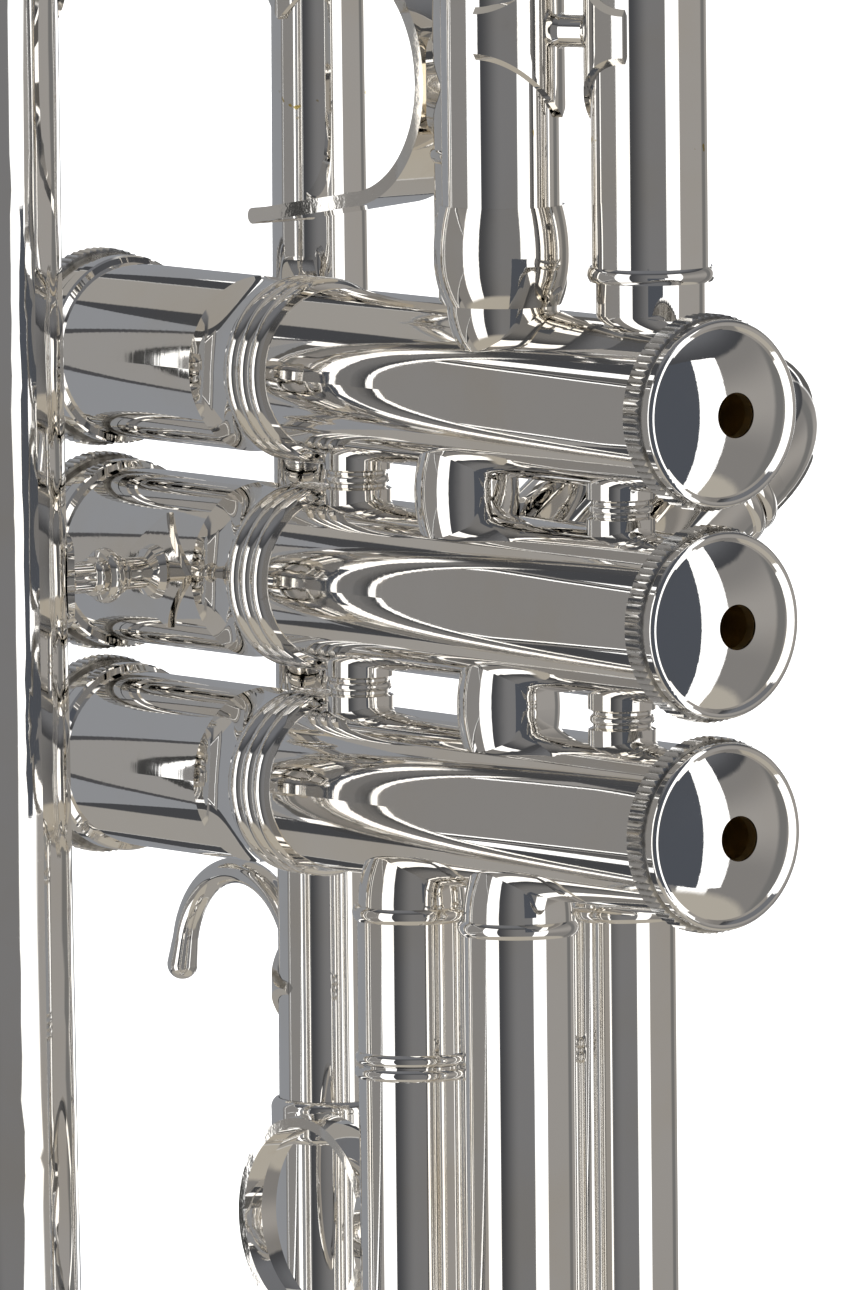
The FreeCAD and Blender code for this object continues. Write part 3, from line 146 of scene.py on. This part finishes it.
# Each card's name, its place along X, its reach along Y and Z, and its colour
cards = (("grey_card", -0.153, (-0.62, -0.0972), (0.150, 0.400), (0.235, 0.228, 0.222)),
         ("lit_card_edge", -0.154, (-0.626, -0.0945), (0.146, 0.404), white),
         ("dark_card_edge", -0.155, (-0.632, -0.0910), (0.140, 0.410), (0.05, 0.05, 0.05)),
         ("side_card", -0.156, (-0.64, -0.0740), (0.136, 0.414), (0.30, 0.292, 0.284)),
         ("side_card_edge", -0.157, (-0.65, -0.0700), (0.132, 0.418), (0.07, 0.07, 0.075)),
         ("far_card", -0.158, (-0.66, 0.25), (0.150, 0.400), (0.27, 0.28, 0.30)),
         ("valve_end_shade", 0.108, (0.009, 0.0302), (0.237, 0.313), (0.075, 0.083, 0.10)),
         ("valve_end_light", 0.108, (0.0302, 0.0372), (0.237, 0.313), white))
for name, back, (near, far), (low, high), glow in cards:
    bpy.ops.mesh.primitive_plane_add(size=1, location=(back, (near + far) / 2, (low + high) / 2),
                                     rotation=(0, math.pi / 2, 0))
    card = bpy.context.active_object
    card.name = name
    card.scale = (high - low, far - near, 1)
    card.visible_camera = False
    card.visible_diffuse = False
    card.visible_shadow = False
    card_paint = bpy.data.materials.new(name)
    card_paint.use_nodes = True
    shader = card_paint.node_tree.nodes["Principled BSDF"]
    shader.inputs["Base Color"].default_value = (0, 0, 0, 1)
    shader.inputs["Specular IOR Level"].default_value = 0
    shader.inputs["Emission Color"].default_value = (*glow, 1)
    shader.inputs["Emission Strength"].default_value = 1
    card.data.materials.append(card_paint)

bpy.ops.mesh.primitive_grid_add(x_subdivisions=8, y_subdivisions=8, size=40, location=(0, 0, -0.0002))
floor = bpy.context.active_object
floor.name = "studio_floor"
floor.visible_glossy = False
floor_paint = bpy.data.materials.new("pale_floor")
floor_paint.use_nodes = True
shader = floor_paint.node_tree.nodes["Principled BSDF"]
shader.inputs["Base Color"].default_value = (0.92, 0.92, 0.92, 1)
shader.inputs["Roughness"].default_value = 0.9
floor.data.materials.append(floor_paint)

lamp_data = bpy.data.lights.new("overhead_softbox", "AREA")
lamp_data.shape = "RECTANGLE"
lamp_data.size = 30
lamp_data.size_y = 30
lamp_data.energy = 9000
lamp = bpy.data.objects.new("overhead_softbox", lamp_data)
lamp.location = (0, 0, 14)
lamp.visible_glossy = False
lamp.visible_camera = False
bpy.context.scene.collection.objects.link(lamp)


# ------------------------------------------------------------------ drawn tubes
# Slides, leadpipe and tail are drawn brass tube under silver plate.  Polishing leaves faint marks along them,
# a slight waviness, and a few spots at the solder joints where the plate has worn to brass.
def painted(name, metallic=1.0):
    """A new material: its node tree, its shader and the object's own coordinates."""
    paint = bpy.data.materials.new(name)
    paint.use_nodes = True
    tree = paint.node_tree
    shader = tree.nodes["Principled BSDF"]
    shader.inputs["Metallic"].default_value = metallic
    return paint, tree, shader, Shade(tree, tree.nodes.new("ShaderNodeTexCoord").outputs["Object"])


def linked(tree, shader, **channels):
    for name, value in channels.items():
        tree.links.new(value.socket, shader.inputs[name.replace("_", " ")])


def raised(height, distance, below=None):
    """Turns a height into a surface normal, on top of another if one is given."""
    if below is None:
        return height.node("ShaderNodeBump", {}, Strength=1.0, Distance=distance, Height=height)
    return height.node("ShaderNodeBump", {}, Strength=1.0, Distance=distance, Height=height, Normal=below)


def plated(start, marks, tint=(0.955, 0.940, 0.915)):
    """Polished silver: its colour, roughness and normal, given the stretch of its polishing marks."""
    bloom = start.noise(42.0, 4.0, 0.6)
    haze = start.noise(160.0, 3.0, 0.6)
    fine = start.noise(1400.0, 2.0, 0.5, marks)
    waves = start.noise(55.0, 1.0, 0.4)
    warm = tuple(channel * factor for channel, factor in zip(tint, (0.985, 0.955, 0.90)))
    colour = bloom.step(0.42, 0.78).mix(tint, warm)
    soft = bloom.step(0.35, 0.8) * 0.02 + haze.step(0.5, 0.8) * 0.02
    roughness = soft + fine.step(0.55, 0.8) * 0.03 + 0.022
    normal = raised(fine, 0.0000012, raised(waves, 0.00002))
    return colour, roughness, normal


tube_paint, tree, shader, start = painted("drawn_silver_tube")
colour, roughness, normal = plated(start, (1, 1, 0.02))
level = start.split()[2]
worn = start.noise(380.0, 2.0, 0.5).step(0.66, 0.69) * level.between(0.3285, 0.3315, 0.0004)
colour = worn.mix(colour, (0.58, 0.44, 0.14))
linked(tree, shader, Base_Color=colour, Roughness=roughness + worn * 0.18, Normal=normal)
tubes = ("leadpipe", "leadpipe_sleeve", "first_slide_upper_tube", "first_slide_lower_tube", "first_slide",
         "second_slide_tubes", "second_slide", "third_slide_upper_tube", "third_slide_lower_tube",
         "third_slide", "tuning_lower_tube", "tuning_slide", "bell_tail", "crossing_tube_1_2",
         "crossing_tube_2_3")


def dress(paint, *names):
    """Gives CAD pieces their material."""
    for name in names:
        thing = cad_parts[name]
        thing.data.materials.clear()
        thing.data.materials.append(paint)


dress(tube_paint, *tubes)


# ------------------------------------------------------------------ valve casings
# Each casing is a heavy brass barrel turned in a lathe, silver plated outside and lapped bare inside, where
# the piston's oil leaves it brown.  Buffing runs round it.
def from_valve_axis(start):
    """The distance from the nearest valve axis, and the angle round it."""
    east, north, level = start.split()
    side = north - 0.034
    up = (level - 0.2375).math("WRAP", 0.025, 0.0) - 0.0125
    return (side * side + up * up).math("SQRT"), up.math("ARCTAN2", side), east


casing_paint, tree, shader, start = painted("turned_silver_barrel")
colour, roughness, normal = plated(start, (1, 0.03, 0.03))
reach, angle, east = from_valve_axis(start)
inside = reach.step(0.0088, 0.0090).flip()
oily = start.noise(320.0, 3.0).mix((0.42, 0.30, 0.13), (0.66, 0.48, 0.22))
seam = east.between(0.0143, 0.0216, 0.0002) * start.noise(700.0, 3.0).step(0.62, 0.75)
colour = (seam * 0.5).mix(colour, (0.52, 0.44, 0.33))
colour = inside.mix(colour, oily)
linked(tree, shader, Base_Color=colour, Roughness=roughness + inside * 0.3 + seam * 0.1, Normal=normal)
dress(casing_paint, "valve_casing_1", "valve_casing_2", "valve_casing_3")


# ------------------------------------------------------------------ bottom caps
# The caps screw on to the casings.  Their domes carry fine marks that run out from the vent hole, tarnish
# and painted shade darken the grooves between the teeth of the knurled edge, and the inside is bare brass.
cap_paint, tree, shader, start = painted("domed_silver_cap")
colour, roughness, normal = plated(start, (0.03, 1, 1))
reach, angle, east = from_valve_axis(start)
spokes = angle.node("ShaderNodeCombineXYZ", {}, i0=angle * 26.0, i1=reach * 120.0, i2=0.0)
streaks = spokes.node("ShaderNodeTexNoise", {}, Vector=spokes, Scale=1.0, Detail=4.0, Roughness=0.7)
on_knurl = east.between(0.0925, 0.0963, 0.0001)
# Painted shade: the grooves between the knurl teeth are darkened, partly as tarnish and partly as shade.
groove_tarnish_and_shade = on_knurl * reach.step(0.01130, 0.01152).flip()
groove_unevenness = start.noise(900.0, 2.0).step(0.35, 0.75)
dome = (reach * reach).math("MULTIPLY_ADD", -1.0, 0.019 ** 2).math("SQRT") + 0.08119
inside = (dome - east).step(0.0002, 0.0004) * reach.step(0.0097, 0.0098).flip()
colour = (groove_tarnish_and_shade * (groove_unevenness * 0.35 + 0.5)).mix(colour, (0.16, 0.145, 0.12))
colour = inside.mix(colour, (0.62, 0.45, 0.20))
roughness = roughness + streaks.step(0.45, 0.8) * 0.03 + groove_tarnish_and_shade * 0.25 + inside * 0.4
normal = raised(streaks, 0.0000020, normal)
linked(tree, shader, Base_Color=colour, Roughness=roughness, Normal=normal)
dress(cap_paint, "bottom_cap_1", "bottom_cap_2", "bottom_cap_3")


# ------------------------------------------------------------------ top caps
# The same turned and knurled brass as the bottom caps, with felt dust, finger tarnish and painted shade
# darkening the grooves between the teeth.
top_paint, tree, shader, start = painted("knurled_silver_cap")
colour, roughness, normal = plated(start, (0.03, 1, 1))
reach, angle, east = from_valve_axis(start)
# Painted shade: the grooves between the knurl teeth are darkened, partly as tarnish and partly as shade.
groove_tarnish_and_shade = east.between(-0.0263, -0.0229, 0.0001) * reach.step(0.01180, 0.01202).flip()
colour = (groove_tarnish_and_shade * (start.noise(900.0, 2.0).step(0.35, 0.75) * 0.35 + 0.5)).mix(colour, (0.16, 0.145, 0.12))
linked(tree, shader, Base_Color=colour, Roughness=roughness + groove_tarnish_and_shade * 0.25, Normal=normal)
dress(top_paint, "top_caps")


# ------------------------------------------------------------------ bell and its bow
# The bell is spun from thin sheet over a mandrel, so its faint marks run round it, and the flare rings a
# little wavy.  The bow is bent tube, and both are plated and hand polished.
bell_paint, tree, shader, start = painted("spun_silver_bell")
colour, roughness, normal = plated(start, (0.04, 0.04, 1))
hand = start.noise(26.0, 2.0, 0.5)
normal = raised(hand, 0.00004, normal)
linked(tree, shader, Base_Color=colour, Roughness=roughness + hand.step(0.5, 0.9) * 0.02, Normal=normal)
dress(bell_paint, "bell", "bell_bow")


# ------------------------------------------------------------------ braces, ferrules and hand fittings
# Cast and turned nickel silver, soldered on before plating: patches are rubbed softer, as the fingers rub the
# hook, ring and saddle.
fitting_paint, tree, shader, start = painted("cast_silver_fitting")
colour, roughness, normal = plated(start, (1, 1, 1), (0.945, 0.925, 0.89))
rubbed = start.noise(120.0, 4.0, 0.6)
cast = start.noise(420.0, 3.0, 0.6)
colour = rubbed.step(0.55, 0.8).mix(colour, (0.86, 0.81, 0.74))
normal = raised(cast, 0.000006, normal)
linked(tree, shader, Base_Color=colour, Roughness=roughness + rubbed.step(0.45, 0.8) * 0.05, Normal=normal)
dress(fitting_paint, "casing_spools", "tail_ferrule", "tail_brace", "front_brace", "rear_brace", "bell_post",
      "leadpipe_pads", "bell_bow_ferrules", "little_finger_hook", "finger_ring", "thumb_saddle",
      "tuning_stay", "tuning_key_seat", "tuning_key_lever", "mouthpiece_receiver", "finger_button_1", "finger_button_2",
      "finger_button_3")


# ------------------------------------------------------------------ mouthpiece
# Turned from solid bar and plated; tool marks stay faintly on it.
mouth_paint, tree, shader, start = painted("turned_silver_mouthpiece")
colour, roughness, normal = plated(start, (0.02, 0.02, 1), (0.96, 0.95, 0.93))
tool = start.noise(2600.0, 1.0, 0.5, (0.01, 0.01, 1))
normal = raised(tool, 0.0000010, normal)
linked(tree, shader, Base_Color=colour, Roughness=roughness + tool.step(0.5, 0.8) * 0.03, Normal=normal)
dress(mouth_paint, "mouthpiece")


# ------------------------------------------------------------------ pistons and stems
# Nickel-copper alloy, lapped round and wet with valve oil that darkens it in patches.
piston_paint, tree, shader, start = painted("lapped_nickel_alloy")
lap = start.noise(1800.0, 2.0, 0.5, (1, 0.02, 0.02))
oil = start.noise(150.0, 4.0, 0.6).step(0.45, 0.75)
colour = oil.mix((0.60, 0.57, 0.52), (0.36, 0.31, 0.24))
linked(tree, shader, Base_Color=colour, Roughness=lap * 0.14 + oil * 0.06 + 0.14,
       Normal=raised(lap, 0.0000020))
dress(piston_paint, *(f"{kind}_{number}" for kind in ("piston", "valve_stem") for number in (1, 2, 3)))


# ------------------------------------------------------------------ valve springs
# Bright drawn spring wire, lightly stained by oil.
spring_paint, tree, shader, start = painted("bright_spring_wire")
stain = start.noise(500.0, 3.0, 0.6).step(0.4, 0.8)
colour = stain.mix((0.56, 0.55, 0.53), (0.40, 0.34, 0.25))
linked(tree, shader, Base_Color=colour, Roughness=stain * 0.2 + 0.2)
dress(spring_paint, "valve_spring_1", "valve_spring_2", "valve_spring_3")


# ------------------------------------------------------------------ valve guides
# Bare brass discs, dulled where their keys rub in the casings.
guide_paint, tree, shader, start = painted("bare_brass")
dull = start.noise(300.0, 4.0, 0.6).step(0.35, 0.75)
colour = dull.mix((0.72, 0.53, 0.22), (0.46, 0.32, 0.13))
linked(tree, shader, Base_Color=colour, Roughness=dull * 0.25 + 0.2)
dress(guide_paint, "valve_guides")


# ------------------------------------------------------------------ felts
# Pressed wool rings, off-white with grey fibres and a soft, uneven surface.
felt_paint, tree, shader, start = painted("pressed_wool", 0.0)
fibres = start.noise(2400.0, 5.0, 0.75)
clumps = start.noise(700.0, 3.0, 0.6)
colour = fibres.step(0.35, 0.7).mix((0.52, 0.49, 0.43), (0.84, 0.81, 0.74))
normal = raised(fibres, 0.00012, raised(clumps, 0.0002))
linked(tree, shader, Base_Color=colour, Roughness=clumps * 0.1 + 0.85, Normal=normal)
dress(felt_paint, "stem_felts_1", "stem_felts_2", "stem_felts_3")


# ------------------------------------------------------------------ button pearls
# Discs of mother-of-pearl, ground and polished, with cloudy layers that shift from cream to pink and green.
pearl_paint, tree, shader, start = painted("mother_of_pearl", 0.0)
drift = start.noise(90.0, 3.0, 0.6)
layers = start.noise(330.0, 4.0, 0.65, (1, 1, 0.35))
colour = layers.step(0.35, 0.65).mix((0.80, 0.77, 0.70), (0.90, 0.90, 0.86))
colour = (drift.step(0.5, 0.7) * 0.5).mix(colour, (0.86, 0.74, 0.74))
colour = (drift.step(0.3, 0.45).flip() * 0.5).mix(colour, (0.70, 0.82, 0.76))
linked(tree, shader, Base_Color=colour, Roughness=layers * 0.12 + 0.08, Normal=raised(layers, 0.00001))
shader.inputs["Coat Weight"].default_value = 0.6
dress(pearl_paint, "button_pearl_1", "button_pearl_2", "button_pearl_3")
